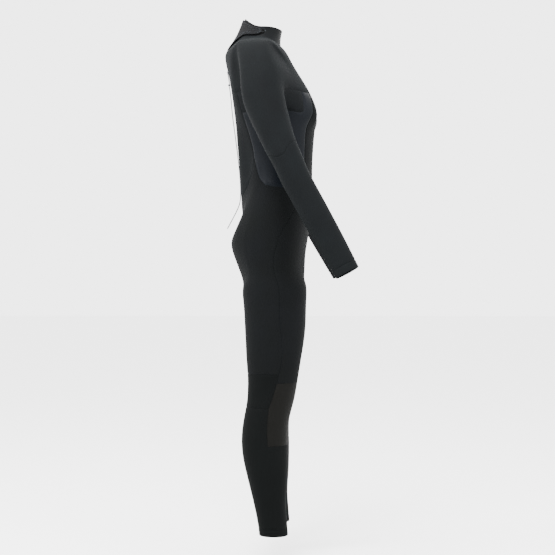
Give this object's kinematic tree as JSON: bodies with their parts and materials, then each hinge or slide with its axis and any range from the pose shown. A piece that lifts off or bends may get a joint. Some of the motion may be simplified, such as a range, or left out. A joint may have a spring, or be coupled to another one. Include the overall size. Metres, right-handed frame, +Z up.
{
  "type": "full wetsuit",
  "caption": "Full-length women's wetsuit: raglan sleeves, back zip with leash, wrap-over collar closure, knee pads; zip, flap, elbows and knees move.",
  "frame": {"origin": "centre of the wearer's waist, where the wearer holds the suit up", "axes": "+Z up the body, -Y the wearer's front, +X the wearer's left"},
  "size_m": [0.561, 0.3538, 1.3889],
  "materials": {
    "jersey": "black stretch jersey over neoprene, matt",
    "smooth_side": "dark smooth-faced neoprene side panels, soft sheen",
    "leg_jersey": "darker stretch jersey on the legs, matt",
    "pad": "abrasion-proof printed rubber knee pads, matt",
    "collar_skin": "smooth neoprene collar",
    "loop": "dark grey loop fabric",
    "webbing": "woven black tape",
    "teeth": "moulded acetal",
    "slider_metal": "dark enamelled zinc",
    "cord": "thin grey braided cord"
  },
  "bodies": {
    "suit": {"shoulder_panel_left": "jersey", "shoulder_panel_right": "jersey", "side_panel_left": "smooth_side", "side_panel_right": "smooth_side", "zip_panel_left": "jersey", "zip_panel_right": "jersey", "underarm_panel_left": "jersey", "underarm_panel_right": "jersey", "seat_panel_left": "jersey", "seat_panel_right": "jersey", "back_thigh_left": "leg_jersey", "back_thigh_right": "leg_jersey", "front_thigh_left": "leg_jersey", "front_thigh_right": "leg_jersey", "front_panel": "jersey", "crotch_gusset": "leg_jersey", "collar": "collar_skin", "hook_patch": "webbing", "elbow_bend_left": "jersey", "elbow_bend_right": "jersey", "knee_bend_left": "leg_jersey", "knee_bend_right": "leg_jersey", "zip_tape_left": "webbing", "zip_tape_right": "webbing", "zip_teeth_left": "teeth", "zip_teeth_right": "teeth", "zip_backing_flap": "collar_skin", "zip_top_stop": "teeth", "zip_bottom_stop": "teeth"},
    "slider": {"zip_slider": "slider_metal"},
    "pull_tab": {"zip_pull_tab": "slider_metal"},
    "knot": {"leash_knot": "cord"},
    "leash_cord": {"leash": "cord"},
    "closure_flap": {"collar_flap": "loop"},
    "forearm_left": {"forearm_panel_left": "jersey", "wrist_hem_left": "jersey"},
    "shin_left": {"knee_pad_left": "pad", "calf_panel_left": "leg_jersey", "ankle_hem_left": "leg_jersey"},
    "forearm_right": {"forearm_panel_right": "jersey", "wrist_hem_right": "jersey"},
    "shin_right": {"knee_pad_right": "pad", "calf_panel_right": "leg_jersey", "ankle_hem_right": "leg_jersey"}
  },
  "joints": [
    {"name": "zip_travel", "type": "hinge", "parent": "suit", "child": "slider", "pos_m": [0, 2.61909, -0.16195], "axis": [1, 0, 0], "range_deg": [0, 8.09]},
    {"name": "pull_swing", "type": "hinge", "parent": "slider", "child": "pull_tab", "pos_m": [0, 0.13734, 0.28974], "axis": [1, 0, 0], "range_deg": [0, 80]},
    {"name": "knot_swing", "type": "hinge", "parent": "pull_tab", "child": "knot", "pos_m": [0, 0.13247, 0.25308], "axis": [1, 0, 0], "range_deg": [-80, 0]},
    {"name": "leash_swing", "type": "hinge", "parent": "knot", "child": "leash_cord", "pos_m": [0, 0.13247, 0.25308], "axis": [1, 0, 0], "range_deg": [0, 20]},
    {"name": "flap_open", "type": "hinge", "parent": "suit", "child": "closure_flap", "pos_m": [0.03667, 0.09362, 0.40243], "axis": [0.084, 0.378, -0.922], "range_deg": [0, 100]},
    {"name": "elbow_left", "type": "hinge", "parent": "suit", "child": "forearm_left", "pos_m": [0.224, -0.052, -0.019], "axis": [-1, 0, 0], "range_deg": [0, 75], "deforming": ["elbow_bend_left"]},
    {"name": "knee_left", "type": "hinge", "parent": "suit", "child": "shin_left", "pos_m": [0.084, 0.013, -0.573], "axis": [1, 0, 0], "range_deg": [0, 65], "deforming": ["knee_bend_left"]},
    {"name": "elbow_right", "type": "hinge", "parent": "suit", "child": "forearm_right", "pos_m": [-0.224, -0.052, -0.019], "axis": [-1, 0, 0], "range_deg": [0, 75], "deforming": ["elbow_bend_right"]},
    {"name": "knee_right", "type": "hinge", "parent": "suit", "child": "shin_right", "pos_m": [-0.084, 0.013, -0.573], "axis": [1, 0, 0], "range_deg": [0, 65], "deforming": ["knee_bend_right"]}
  ],
  "couplings": [
    {"joint": "knot_swing", "follows": "pull_swing", "ratio": -1},
    {"joint": "leash_swing", "follows": "zip_travel", "ratio": 2.4}
  ]
}
